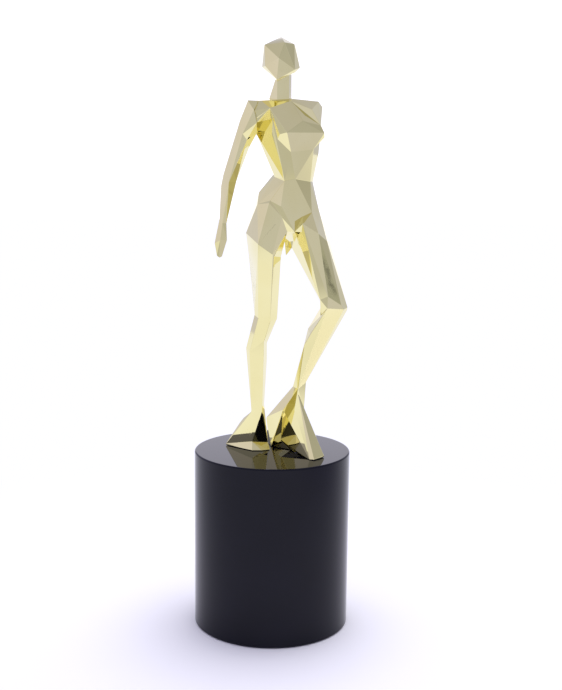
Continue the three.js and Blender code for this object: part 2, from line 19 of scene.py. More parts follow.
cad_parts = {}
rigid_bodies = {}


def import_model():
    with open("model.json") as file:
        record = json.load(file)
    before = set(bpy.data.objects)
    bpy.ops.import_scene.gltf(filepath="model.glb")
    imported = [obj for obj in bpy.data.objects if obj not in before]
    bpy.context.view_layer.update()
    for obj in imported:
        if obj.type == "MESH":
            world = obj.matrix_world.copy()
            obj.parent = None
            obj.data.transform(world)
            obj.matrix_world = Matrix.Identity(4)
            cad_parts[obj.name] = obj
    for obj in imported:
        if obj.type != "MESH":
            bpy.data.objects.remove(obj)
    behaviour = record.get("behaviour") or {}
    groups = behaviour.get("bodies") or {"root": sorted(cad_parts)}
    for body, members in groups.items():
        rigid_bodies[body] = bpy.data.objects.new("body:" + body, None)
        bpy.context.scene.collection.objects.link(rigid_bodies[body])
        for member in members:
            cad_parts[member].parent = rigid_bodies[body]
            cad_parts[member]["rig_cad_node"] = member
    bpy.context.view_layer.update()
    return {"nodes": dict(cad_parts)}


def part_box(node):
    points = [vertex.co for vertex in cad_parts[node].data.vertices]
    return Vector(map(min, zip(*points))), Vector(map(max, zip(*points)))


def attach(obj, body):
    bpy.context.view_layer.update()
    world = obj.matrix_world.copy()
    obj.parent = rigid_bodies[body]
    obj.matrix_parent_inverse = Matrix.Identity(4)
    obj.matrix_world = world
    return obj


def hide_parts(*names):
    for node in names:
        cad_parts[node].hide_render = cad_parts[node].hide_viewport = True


LOG = logging.getLogger("trophy")
MM = 0.001
ROOT_BODY = "root"

Colour = tuple[float, float, float]
Point = tuple[float, float, float]
Span = tuple[float, float]
Outline = list[tuple[float, float]]


class Slot(Enum):
    """The record's material slots."""

    GOLD_PLATE = "gold_plate"
    GLOSS_BLACK = "gloss_black"
    GREY_BOARD = "grey_board"
    CAST_IRON = "cast_iron"
    ZINC_STEEL = "zinc_steel"
    BLACK_FELT = "black_felt"


@dataclass(frozen=True)
class Pattern:
    """A noise pattern and the part of its range that is stretched from 0 to 1.

    Attributes:
        scale: Features per metre.
        detail: Octaves.
        low: Noise value that gives 0.
        high: Noise value that gives 1.
        roughness: Strength of the finer octaves.
    """

    scale: float
    detail: float
    low: float = 0.0
    high: float = 1.0
    roughness: float = 0.5


# ---- node helpers --------------------------------------------------------------------------------


class Graph:
    """A node tree that is filled with short calls."""

    def __init__(self, tree: bpy.types.NodeTree) -> None:
        """Keeps the tree and empties it.

        Args:
            tree: The node tree to fill.
        """
        self.tree = tree
        tree.nodes.clear()

    def add(self, kind: str, inputs: dict | None = None, **settings: object) -> bpy.types.Node:
        """Adds a node, sets it up and wires or fills its inputs.

        Args:
            kind: The node's type name.
            inputs: Input name or index, to a socket to link or a value to set.
            settings: Attributes of the node itself.

        Returns:
            The new node.
        """
        node = self.tree.nodes.new(kind)
        for name, value in settings.items():
            setattr(node, name, value)
        for name, value in (inputs or {}).items():
            if isinstance(value, bpy.types.NodeSocket):
                self.tree.links.new(value, node.inputs[name])
            else:
                node.inputs[name].default_value = value
        return node

    def math(self, operation: str, first: object, second: object = 0.0) -> bpy.types.NodeSocket:
        """One Math node.

        Args:
            operation: The operation's name.
            first: Socket or number.
            second: Socket or number.

        Returns:
            The result's socket.
        """
        return self.add("ShaderNodeMath", {0: first, 1: second}, operation=operation).outputs[0]

    def facing(self, look: bpy.types.NodeSocket, towards: Point) -> bpy.types.NodeSocket:
        """How nearly a direction points one way.

        Args:
            look: Socket of a unit vector.
            towards: The way, of any length.

        Returns:
            The cosine of the angle between them.
        """
        inputs = {0: look, 1: Vector(towards).normalized()}
        return self.add("ShaderNodeVectorMath", inputs, operation="DOT_PRODUCT").outputs["Value"]

    def ramp(self, value: bpy.types.NodeSocket, low: float, high: float, start: float = 0.0,
             end: float = 1.0) -> bpy.types.NodeSocket:
        """Maps a value from low..high onto start..end, with eased ends.

        Args:
            value: The socket to map.
            low: The value that gives start.
            high: The value that gives end.
            start: The first result.
            end: The last result.

        Returns:
            The mapped value's socket.
        """
        inputs = {0: value, 1: low, 2: high, 3: start, 4: end}
        return self.add("ShaderNodeMapRange", inputs, interpolation_type="SMOOTHSTEP").outputs[0]

    def blend(self, amount: bpy.types.NodeSocket, first: object,
              second: object) -> bpy.types.NodeSocket:
        """Mixes two colours.

        Args:
            amount: Socket that is 0 for the first colour and 1 for the second.
            first: Colour or socket.
            second: Colour or socket.

        Returns:
            The mixed colour's socket.
        """
        node = self.add("ShaderNodeMix", data_type="RGBA")
        for slot, value in ((0, amount), (6, first), (7, second)):
            if isinstance(value, bpy.types.NodeSocket):
                self.tree.links.new(value, node.inputs[slot])
            else:
                node.inputs[slot].default_value = (*value, 1.0)
        return node.outputs[2]

    def noise(self, place: bpy.types.NodeSocket, pattern: Pattern) -> bpy.types.NodeSocket:
        """The plain noise of a pattern.

        Args:
            place: Coordinates in metres.
            pattern: The pattern, whose low and high aren't used.

        Returns:
            The noise value's socket.
        """
        return self.add("ShaderNodeTexNoise", {
            "Vector": place, "Scale": pattern.scale, "Detail": pattern.detail,
            "Roughness": pattern.roughness}).outputs[0]

    def spread(self, noise: bpy.types.NodeSocket, pattern: Pattern, start: float = 0.0,
               end: float = 1.0) -> bpy.types.NodeSocket:
        """Stretches a pattern's noise onto start..end.

        Args:
            noise: The noise value.
            pattern: The pattern that it comes from.
            start: The result at the pattern's low.
            end: The result at the pattern's high.

        Returns:
            The stretched value's socket.
        """
        return self.ramp(noise, pattern.low, pattern.high, start, end)

    def patches(self, place: bpy.types.NodeSocket, pattern: Pattern, start: float = 0.0,
                end: float = 1.0) -> bpy.types.NodeSocket:
        """A pattern's noise, stretched onto start..end.

        Args:
            place: Coordinates in metres.
            pattern: The pattern.
            start: The result at the pattern's low.
            end: The result at the pattern's high.

        Returns:
            The stretched value's socket.
        """
        return self.spread(self.noise(place, pattern), pattern, start, end)

    def stretched(self, place: bpy.types.NodeSocket, scale: Point) -> bpy.types.NodeSocket:
        """Coordinates that draw a pattern out along the axes with a scale below 1.

        Args:
            place: Coordinates in metres.
            scale: What each axis is multiplied by.

        Returns:
            The new coordinates' socket.
        """
        return self.add("ShaderNodeMapping", {"Vector": place, "Scale": scale}).outputs[0]

    def bump(self, height: bpy.types.NodeSocket, depth: float,
             normal: bpy.types.NodeSocket | None = None) -> bpy.types.NodeSocket:
        """A bump of a given depth.

        Args:
            height: Height from 0 to 1.
            depth: Depth in metres that a height of 1 stands for.
            normal: Socket of a normal to start from.

        Returns:
            The bumped normal's socket.
        """
        inputs = {"Height": height, "Strength": 1.0, "Distance": depth}
        if normal is not None:
            inputs["Normal"] = normal
        return self.add("ShaderNodeBump", inputs).outputs[0]


# ---- finishes ------------------------------------------------------------------------------------


@dataclass(frozen=True)
class Finish:
    """A procedural finish: a Principled shader with patterns on Object coordinates."""

    name: str
    slot: Slot

    def material(self) -> bpy.types.Material:
        """The finish's material, made once.

        Returns:
            The material.
        """
        found = bpy.data.materials.get(self.name)
        if found:
            return found
        made = bpy.data.materials.new(self.name)
        made.use_nodes = True
        graph = Graph(made.node_tree)
        shader = graph.add("ShaderNodeBsdfPrincipled")
        place = graph.add("ShaderNodeTexCoord").outputs["Object"]
        self.paint(graph, shader, place)
        graph.add("ShaderNodeOutputMaterial", {"Surface": shader.outputs[0]})
        return made

    def paint(self, graph: Graph, shader: bpy.types.Node, place: bpy.types.NodeSocket) -> None:
        """Fills the shader's inputs, which each finish does in its own way.

        Args:
            graph: The material's tree.
            shader: The Principled node.
            place: Object coordinates.
        """
        raise NotImplementedError

    @staticmethod
    def wire(graph: Graph, shader: bpy.types.Node, sockets: dict[str, bpy.types.NodeSocket]) -> None:
        """Links sockets to the shader's inputs.

        Args:
            graph: The material's tree.
            shader: The Principled node.
            sockets: Input name to the socket that feeds it.
        """
        for name, socket in sockets.items():
            graph.tree.links.new(socket, shader.inputs[name])

    def dress(self, piece: bpy.types.Object) -> None:
        """Gives the finish to a piece.

        Args:
            piece: The object to dress.
        """
        piece.data.materials.clear()
        piece.data.materials.append(self.material())


@dataclass(frozen=True)
class PolishedPlate(Finish):
    """Pale gold plate on polished castings, with a polisher's slight waviness."""

    name: str = "polished_gold_plate"
    slot: Slot = Slot.GOLD_PLATE
    bright: Colour = (0.875, 0.812, 0.425)
    warm: Colour = (0.850, 0.780, 0.385)
    smooth: float = 0.035
    wiped: float = 0.075
    tones: Pattern = Pattern(38.0, 3.0, 0.35, 0.65)
    wipes: Pattern = Pattern(120.0, 4.0, 0.5, 0.75, 0.6)
    waves: Pattern = Pattern(55.0, 1.0, roughness=0.35)
    wave_depth: float = 0.035 * MM
    buffing: Pattern = Pattern(900.0, 3.0, roughness=0.6)
    buffing_stretch: Point = (1.0, 1.0, 0.12)
    buffing_depth: float = 0.0006 * MM

    def paint(self, graph: Graph, shader: bpy.types.Node, place: bpy.types.NodeSocket) -> None:
        """Sets up plate colour, wiped patches and polishing waves.

        Args:
            graph: The material's tree.
            shader: The Principled node.
            place: Object coordinates.
        """
        along = graph.stretched(place, self.buffing_stretch)
        waves = graph.bump(graph.noise(place, self.waves), self.wave_depth)
        shader.inputs["Metallic"].default_value = 1.0
        self.wire(graph, shader, {
            "Base Color": graph.blend(graph.patches(place, self.tones), self.bright, self.warm),
            "Roughness": graph.patches(place, self.wipes, self.smooth, self.wiped),
            "Normal": graph.bump(graph.noise(along, self.buffing), self.buffing_depth, waves),
        })


@dataclass(frozen=True)
class GlossBlack(Finish):
    """Deep black gloss with the faint ripple of a sprayed and polished coat."""

    name: str = "gloss_black_drum"
    slot: Slot = Slot.GLOSS_BLACK
    deep: Colour = (0.002, 0.002, 0.007)
    lifted: Colour = (0.003, 0.003, 0.009)
    dust_grey: Colour = (0.30, 0.30, 0.32)
    dust_cover: float = 0.05
    ior: float = 1.45
    gloss: float = 0.24
    haze: Span = (0.02, 0.06)
    clouds: Pattern = Pattern(45.0, 3.0, 0.3, 0.7)
    hazes: Pattern = Pattern(160.0, 4.0, 0.45, 0.8, 0.65)
    dust: Pattern = Pattern(2600.0, 1.0, 0.74, 0.80)
    ripple: Pattern = Pattern(140.0, 1.0, roughness=0.3)
    ripple_depth: float = 0.004 * MM

    def paint(self, graph: Graph, shader: bpy.types.Node, place: bpy.types.NodeSocket) -> None:
        """Sets up the black, its haze and its ripple.

        Args:
            graph: The material's tree.
            shader: The Principled node.
            place: Object coordinates.
        """
        black = graph.blend(graph.patches(place, self.clouds), self.deep, self.lifted)
        dust = graph.math("MULTIPLY", graph.patches(place, self.dust), self.dust_cover)
        shader.inputs["IOR"].default_value = self.ior
        shader.inputs["Specular IOR Level"].default_value = self.gloss
        self.wire(graph, shader, {
            "Base Color": graph.blend(dust, black, self.dust_grey),
            "Roughness": graph.patches(place, self.hazes, *self.haze),
            "Normal": graph.bump(graph.noise(place, self.ripple), self.ripple_depth),
        })


@dataclass(frozen=True)
class MouldedBoard(Finish):
    """Dark moulded board with a matte grain."""

    name: str = "dark_moulded_board"
    slot: Slot = Slot.GREY_BOARD
    dark: Colour = (0.040, 0.040, 0.043)
    light: Colour = (0.062, 0.061, 0.064)
    matte: Span = (0.55, 0.75)
    grain: Pattern = Pattern(1400.0, 4.0, 0.3, 0.7, 0.7)
    speckle: Span = (0.35, 0.65)
    grain_depth: float = 0.03 * MM

    def paint(self, graph: Graph, shader: bpy.types.Node, place: bpy.types.NodeSocket) -> None:
        """Sets up the board's grain.

        Args:
            graph: The material's tree.
            shader: The Principled node.
            place: Object coordinates.
        """
        grain = graph.noise(place, self.grain)
        self.wire(graph, shader, {
            "Base Color": graph.blend(graph.ramp(grain, *self.speckle), self.dark, self.light),
            "Roughness": graph.spread(grain, self.grain, *self.matte),
            "Normal": graph.bump(grain, self.grain_depth),
        })


@dataclass(frozen=True)
class CastIron(Finish):
    """Sand-cast iron under thin dark paint."""

    name: str = "painted_cast_iron"
    slot: Slot = Slot.CAST_IRON
    paint_colour: Colour = (0.045, 0.045, 0.048)
    rust: Colour = (0.10, 0.050, 0.028)
    metallic: float = 0.35
    matte: Span = (0.5, 0.85)
    sand: Pattern = Pattern(950.0, 5.0, 0.3, 0.7, 0.7)
    sand_depth: float = 0.12 * MM
    rust_spots: Pattern = Pattern(210.0, 3.0, 0.62, 0.72)

    def paint(self, graph: Graph, shader: bpy.types.Node, place: bpy.types.NodeSocket) -> None:
        """Sets up sand texture and rust spots.

        Args:
            graph: The material's tree.
            shader: The Principled node.
            place: Object coordinates.
        """
        sand = graph.noise(place, self.sand)
        spots = graph.patches(place, self.rust_spots)
        shader.inputs["Metallic"].default_value = self.metallic
        self.wire(graph, shader, {
            "Base Color": graph.blend(spots, self.paint_colour, self.rust),
            "Roughness": graph.spread(sand, self.sand, *self.matte),
            "Normal": graph.bump(sand, self.sand_depth),
        })


@dataclass(frozen=True)
class ZincSteel(Finish):
    """Bright zinc on turned and rolled steel."""

    name: str = "bright_zinc_steel"
    slot: Slot = Slot.ZINC_STEEL
    zinc: Colour = (0.62, 0.64, 0.67)
    spangle: Colour = (0.55, 0.56, 0.60)
    shine: Span = (0.24, 0.4)
    spangles: Pattern = Pattern(700.0, 2.0, 0.4, 0.6)
    turning: Pattern = Pattern(5200.0, 2.0, 0.3, 0.7)
    turning_stretch: Point = (0.05, 0.05, 1.0)
    turning_depth: float = 0.006 * MM

    def paint(self, graph: Graph, shader: bpy.types.Node, place: bpy.types.NodeSocket) -> None:
        """Sets up turning marks and the zinc's spangle.

        Args:
            graph: The material's tree.
            shader: The Principled node.
            place: Object coordinates.
        """
        turning = graph.noise(graph.stretched(place, self.turning_stretch), self.turning)
        shader.inputs["Metallic"].default_value = 1.0
        self.wire(graph, shader, {
            "Base Color": graph.blend(graph.patches(place, self.spangles), self.zinc, self.spangle),
            "Roughness": graph.spread(turning, self.turning, *self.shine),
            "Normal": graph.bump(turning, self.turning_depth),
        })


@dataclass(frozen=True)
class PressedFelt(Finish):
    """Black pressed wool felt."""

    name: str = "black_pressed_felt"
    slot: Slot = Slot.BLACK_FELT
    wool: Colour = (0.012, 0.012, 0.014)
    lint: Colour = (0.045, 0.045, 0.050)
    matte: Span = (0.85, 1.0)
    sheen: float = 0.35
    sheen_roughness: float = 0.6
    fibres: Pattern = Pattern(2400.0, 5.0, 0.3, 0.7, 0.75)
    fibre_depth: float = 0.10 * MM
    lint_tufts: Pattern = Pattern(520.0, 4.0, 0.5, 0.75, 0.7)

    def paint(self, graph: Graph, shader: bpy.types.Node, place: bpy.types.NodeSocket) -> None:
        """Sets up fibres, lint and a soft sheen.

        Args:
            graph: The material's tree.
            shader: The Principled node.
            place: Object coordinates.
        """
        fibre = graph.noise(place, self.fibres)
        shader.inputs["Sheen Weight"].default_value = self.sheen
        shader.inputs["Sheen Roughness"].default_value = self.sheen_roughness
        self.wire(graph, shader, {
            "Base Color": graph.blend(graph.patches(place, self.lint_tufts), self.wool, self.lint),
            "Roughness": graph.spread(fibre, self.fibres, *self.matte),
            "Normal": graph.bump(fibre, self.fibre_depth),
        })


# ---- mesh helpers --------------------------------------------------------------------------------


def new_piece(name: str, mesh: bpy.types.Mesh) -> bpy.types.Object:
    """Puts a mesh into the scene as an object at the origin.

    Args:
        name: The piece's name.
        mesh: Its mesh, in the frame's coordinates.

    Returns:
        The object.
    """
    mesh.name = name
    piece = bpy.data.objects.new(name, mesh)
    bpy.context.scene.collection.objects.link(piece)
    return piece


def finish_piece(piece: bpy.types.Object, finish: Finish, *nodes: str) -> None:
    """Dresses a piece, rides it on the root body and lets it stand for CAD nodes.

    Args:
        piece: The piece.
        finish: Its finish.
        nodes: The CAD nodes that it replaces.
    """
    finish.dress(piece)
    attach(piece, ROOT_BODY)
    if nodes:
        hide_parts(*nodes)
    LOG.info("built %s (%d faces)", piece.name, len(piece.data.polygons))


def baked(piece: bpy.types.Object) -> bpy.types.Object:
    """Turns a piece's modifiers into a plain mesh.

    Args:
        piece: The piece with its modifiers.

    Returns:
        The same piece, with a plain mesh and no modifiers.
    """
    evaluated = piece.evaluated_get(bpy.context.evaluated_depsgraph_get())
    mesh = bpy.data.meshes.new_from_object(evaluated)
    piece.modifiers.clear()
    piece.data = mesh
    mesh.name = piece.name
    return piece


# ---- the figure ----------------------------------------------------------------------------------


@dataclass
class GildedFigure:
    """The six gold castings under one skin of plate: their soldered seams are dressed flush.

    Attributes:
        castings: The CAD nodes, the one that the others join first.
        weld: Distance at which two corners of a casting are one.
        seam_reach: The widest seam that is looked across.
        edge_probe: How far each probe stands in from its edge, as a share of the way to the middle.
        opposed: Cosine below which two faces look at each other.
        parallel: Cosine above which two faces are parallel.
        flush: How far apart two parallel faces can be and still share a plane.
        lap: How far each side of a seam runs past its middle.
        sliver: The area under which a face has no say in where its corners go.
        facet_pull: The weight of a facet's plane, where a seam's plane has 1.
        rank_limit: The share of the largest singular value under which a direction is left free.
        flat_angle: The angle up to which two faces are one facet.
        sharp_angle: The angle above which an edge is softened.
        edge_width: The width of the softening on each side of an edge.
        edge_segments: The number of faces across it.
        shortest_edge: The length under which an edge stays as it is.
        finish: The plate.
    """

    castings: tuple[str, ...] = ("torso", "head", "right_arm", "left_arm", "right_leg", "left_leg")
    weld: float = 0.0005 * MM
    seam_reach: float = 0.7 * MM
    edge_probe: float = 0.15
    opposed: float = -0.99
    parallel: float = 0.9999
    flush: float = 0.03 * MM
    lap: float = 0.03 * MM
    sliver: float = 0.02 * MM * MM
    facet_pull: float = 0.2
    rank_limit: float = 0.02
    flat_angle: float = math.radians(0.6)
    sharp_angle: float = math.radians(7.0)
    edge_width: float = 0.13 * MM
    edge_segments: int = 2
    shortest_edge: float = 0.5 * MM
    finish: PolishedPlate = PolishedPlate()

    def seams(self, shape: bmesh.types.BMesh, others: list[BVHTree]) -> dict[bmesh.types.BMFace, float]:
        """Finds the flat faces that look across a seam at another casting.

        Args:
            shape: The casting.
            others: The other castings' trees.

        Returns:
            Those faces and all others in their planes, each with the seam's gap.
        """
        facing = []
        for face in shape.faces:
            middle = face.calc_center_median()
            sums = [sum((vertex.co for vertex in edge.verts), Vector()) for edge in face.edges]
            probes = [both.lerp(2 * middle, self.edge_probe) / 2 for both in sums]
            hits = [tree.ray_cast(point, face.normal, self.seam_reach)
                    for tree in others for point in (middle, *probes)]
            gaps = [gap for _, normal, _, gap in hits
                    if normal is not None and normal.dot(face.normal) < self.opposed]
            if gaps:
                facing.append((face, max(gaps)))
        found: dict[bmesh.types.BMFace, float] = {}
        for face in shape.faces:
            for seed, gap in facing:
                if (face.normal.dot(seed.normal) > self.parallel
                        and abs((face.verts[0].co - seed.verts[0].co).dot(seed.normal)) < self.flush):
                    found[face] = max(gap, found.get(face, 0.0))
        return found

    def close(self, seams: dict[bmesh.types.BMFace, float]) -> None:
        """Carries the seam faces just past the middle of their gaps, while every facet keeps its plane.

        Args:
            seams: The seam faces and their gaps.
        """
        moves = {}
        for vertex in {vertex for face in seams for vertex in face.verts}:
            faces = [face for face in vertex.link_faces
                     if face in seams or face.calc_area() > self.sliver]
            planes = [(face.normal, seams[face] / 2 + self.lap if face in seams else 0.0)
                      for face in faces]
            weights = [1.0 if face in seams else self.facet_pull for face in faces]
            rows = np.array([list(normal * weight) for (normal, _), weight in zip(planes, weights)])
            steps = np.array([step * weight for (_, step), weight in zip(planes, weights)])
            moves[vertex] = Vector(np.linalg.lstsq(rows, steps, rcond=self.rank_limit)[0])
        for vertex, move in moves.items():
            vertex.co += move

    def closed_castings(self, nodes: dict[str, bpy.types.Object]) -> list[bpy.types.Object]:
        """Copies of the castings that lap over each other a little at the seams.

        Args:
            nodes: The frame's CAD nodes.

        Returns:
            One object for each casting.
        """
        shapes = {}
        for name in self.castings:
            shapes[name] = bmesh.new()
            shapes[name].from_mesh(nodes[name].data)
            bmesh.ops.remove_doubles(shapes[name], verts=shapes[name].verts, dist=self.weld)
        trees = {name: BVHTree.FromBMesh(shape) for name, shape in shapes.items()}
        copies = []
        for name, shape in shapes.items():
            self.close(self.seams(shape, [tree for other, tree in trees.items() if other != name]))
            mesh = bpy.data.meshes.new(name)
            shape.to_mesh(mesh)
            shape.free()
            copies.append(new_piece(f"{name}_closed", mesh))
        return copies

    def joined(self, copies: list[bpy.types.Object]) -> bpy.types.Object:
        """Joins the lapping castings into one closed skin.

        Args:
            copies: The castings.

        Returns:
            The skin.
        """
        skin, *limbs = copies
        for limb in limbs:
            union = skin.modifiers.new(limb.name, "BOOLEAN")
            union.operation, union.solver, union.object = "UNION", "MANIFOLD", limb
        skin.name = "gilded_figure"
        baked(skin)
        for limb in limbs:
            bpy.data.objects.remove(limb)
        return skin

    def shell_round(self, start: bmesh.types.BMVert) -> set[bmesh.types.BMVert]:
        """The corners of one closed shell of a mesh.

        Args:
            start: Any corner of the shell.

        Returns:
            All its corners.
        """
        found, fresh = {start}, [start]
        while fresh:
            vertex = fresh.pop()
            for edge in vertex.link_edges:
                other = edge.other_vert(vertex)
                if other not in found:
                    found.add(other)
                    fresh.append(other)
        return found

    def soften(self, skin: bpy.types.Object) -> None:
        """Flattens the facets across the seams and bevels the long sharp edges between them.

        Args:
            skin: The skin.
        """
        shape = bmesh.new()
        shape.from_mesh(skin.data)
        bmesh.ops.dissolve_limit(shape, angle_limit=self.flat_angle, verts=shape.verts,
                                 edges=shape.edges)
        outside = self.shell_round(max(shape.verts, key=lambda vertex: vertex.co.z))
        crowded = {vertex for edge in shape.edges if edge.calc_length() < 2 * self.edge_width
                   for vertex in edge.verts}
        edges = [
            edge for edge in shape.edges
            if edge.verts[0] in outside and not crowded.intersection(edge.verts)
            and edge.calc_length() > self.shortest_edge
            and abs(edge.calc_face_angle_signed(0.0)) > self.sharp_angle
        ]
        bmesh.ops.bevel(shape, geom=edges, offset=self.edge_width, offset_type="OFFSET",
                        segments=self.edge_segments, profile=0.5, affect="EDGES", clamp_overlap=False,
                        loop_slide=True)
        shape.to_mesh(skin.data)
        shape.free()

    def build(self, nodes: dict[str, bpy.types.Object]) -> None:
        """Builds the figure's skin.

        Args:
            nodes: The frame's CAD nodes.
        """
        skin = self.joined(self.closed_castings(nodes))
        self.soften(skin)
        finish_piece(skin, self.finish, *self.castings)


# ---- the base ------------------------------------------------------------------------------------


class GeometryRecipe:
    """A Geometry Nodes tree with named inputs, applied to a piece and turned into a plain mesh."""

    def __init__(self, name: str, sizes: dict[str, float]) -> None:
        """Starts the tree with its inputs.

        Args:
            name: The tree's name.
            sizes: Its named inputs with their values. Whole numbers become integer inputs.
        """
        self.sizes = sizes
        self.tree = bpy.data.node_groups.new(name, "GeometryNodeTree")
        self.graph = Graph(self.tree)
        self.tree.interface.new_socket("Outline", in_out="INPUT", socket_type="NodeSocketGeometry")
        for key, value in sizes.items():
            kind = "NodeSocketInt" if isinstance(value, int) else "NodeSocketFloat"
            self.tree.interface.new_socket(key, in_out="INPUT", socket_type=kind)
        self.tree.interface.new_socket("Geometry", in_out="OUTPUT", socket_type="NodeSocketGeometry")
        self.inputs = self.graph.add("NodeGroupInput").outputs

    def close(self, geometry: bpy.types.NodeSocket, finish: Finish) -> None:
        """Ends the tree in Realize Instances and Set Material.

        Args:
            geometry: The geometry so far.
            finish: The finish to set.
        """
        real = self.graph.add("GeometryNodeRealizeInstances", {0: geometry}).outputs[0]
        dressed = self.graph.add("GeometryNodeSetMaterial", {
            0: real, "Material": finish.material()}).outputs[0]
        self.graph.add("NodeGroupOutput", {0: dressed})

    def run(self, piece: bpy.types.Object) -> bpy.types.Object:
        """Runs the tree on a piece's mesh.

        Args:
            piece: The piece, whose mesh is the tree's first input.

        Returns:
            The piece, as a plain mesh.
        """
        modifier = piece.modifiers.new("recipe", "NODES")
        modifier.node_group = self.tree
        for item in self.tree.interface.items_tree:
            if item.in_out == "INPUT" and item.name in self.sizes:
                modifier[item.identifier] = self.sizes[item.name]
        return baked(piece)


@dataclass
class Turning:
    """A solid of revolution, repeated round a circle if it is wanted more than once.

    The outline is closed or starts and ends on the axis.

    Attributes:
        name: The piece's name.
        outline: Radius and height of each corner, in order.
        finish: Its finish.
        sides: Facets round it.
        count: Number of copies.
        circle: Radius of the circle that the copies stand on.
        start: Angle of the first copy.
        weld: Distance at which two corners are one.
        smooth: True for smooth shading.
    """

    name: str
    outline: Outline
    finish: Finish
    sides: int = 192
    count: int = 1
    circle: float = 0.0
    start: float = 0.0
    weld: float = 0.0005 * MM
    smooth: bool = True

    def build(self) -> bpy.types.Object:
        """Turns the outline.

        Returns:
            The piece, with a plain mesh whose faces point outwards.
        """
        mesh = bpy.data.meshes.new(f"{self.name}_outline")
        points = [(radius, 0.0, height) for radius, height in self.outline]
        mesh.from_pydata(points, [(i, i + 1) for i in range(len(points) - 1)], [])
        piece = self.recipe(len(points)).run(new_piece(self.name, mesh))
        shape = bmesh.new()
        shape.from_mesh(piece.data)
        bmesh.ops.remove_doubles(shape, verts=shape.verts, dist=2 * self.weld)
        bmesh.ops.recalc_face_normals(shape, faces=shape.faces)
        if shape.calc_volume(signed=True) < 0:
            bmesh.ops.reverse_faces(shape, faces=shape.faces)
        shape.to_mesh(piece.data)
        shape.free()
        return piece

    def recipe(self, corners: int) -> GeometryRecipe:
        """The Geometry Nodes tree that turns and repeats the outline.

        Args:
            corners: Number of points in the outline.

        Returns:
            The recipe.
        """
        recipe = GeometryRecipe(f"{self.name}_turning", {
            "Sides": self.sides, "Corners": corners, "Count": self.count, "Circle Radius": self.circle,
            "Start Angle": self.start,
        })
        graph, inputs = recipe.graph, recipe.inputs
        columns = graph.math("ADD", inputs["Sides"], 1.0)
        grid = graph.add("GeometryNodeMeshGrid", {
            "Vertices X": columns, "Vertices Y": inputs["Corners"]}).outputs[0]
        index = graph.add("GeometryNodeInputIndex").outputs[0]
        inside = graph.math("ADD", index, 0.5)
        column = graph.math("FLOOR", graph.math("DIVIDE", inside, inputs["Corners"]))
        row = graph.math("SUBTRACT", index, graph.math("MULTIPLY", column, inputs["Corners"]))
        share = graph.math("DIVIDE", column, inputs["Sides"])
        corner = graph.add("GeometryNodeSampleIndex", {
            "Geometry": inputs["Outline"], "Value": graph.add("GeometryNodeInputPosition").outputs[0],
            "Index": row}, data_type="FLOAT_VECTOR", domain="POINT").outputs["Value"]
        apart = graph.add("ShaderNodeSeparateXYZ", {0: corner}).outputs
        angle = graph.math("MULTIPLY", share, math.tau)
        place = graph.add("ShaderNodeCombineXYZ", {
            0: graph.math("MULTIPLY", apart[0], graph.math("COSINE", angle)),
            1: graph.math("MULTIPLY", apart[0], graph.math("SINE", angle)), 2: apart[2]}).outputs[0]
        turned = graph.add("GeometryNodeSetPosition", {"Geometry": grid, "Position": place}).outputs[0]
        welded = graph.add("GeometryNodeMergeByDistance", {
            "Geometry": turned, "Distance": self.weld}).outputs[0]
        shaded = graph.add("GeometryNodeSetShadeSmooth", {
            "Geometry": welded, "Shade Smooth": self.smooth}).outputs[0]
        places = graph.math("MAXIMUM", inputs["Count"], 3.0)
        ring = graph.add("GeometryNodeMeshCircle", {
            "Vertices": places, "Radius": inputs["Circle Radius"]}).outputs[0]
        turn = graph.add("ShaderNodeCombineXYZ", {2: inputs["Start Angle"]}).outputs[0]
        spun = graph.add("GeometryNodeTransform", {"Geometry": ring, "Rotation": turn}).outputs[0]
        wanted = graph.math("LESS_THAN", index, graph.math("SUBTRACT", inputs["Count"], 0.5))
        copies = graph.add("GeometryNodeInstanceOnPoints", {
            "Points": spun, "Selection": wanted, "Instance": shaded}).outputs[0]
        recipe.close(copies, self.finish)
        return recipe


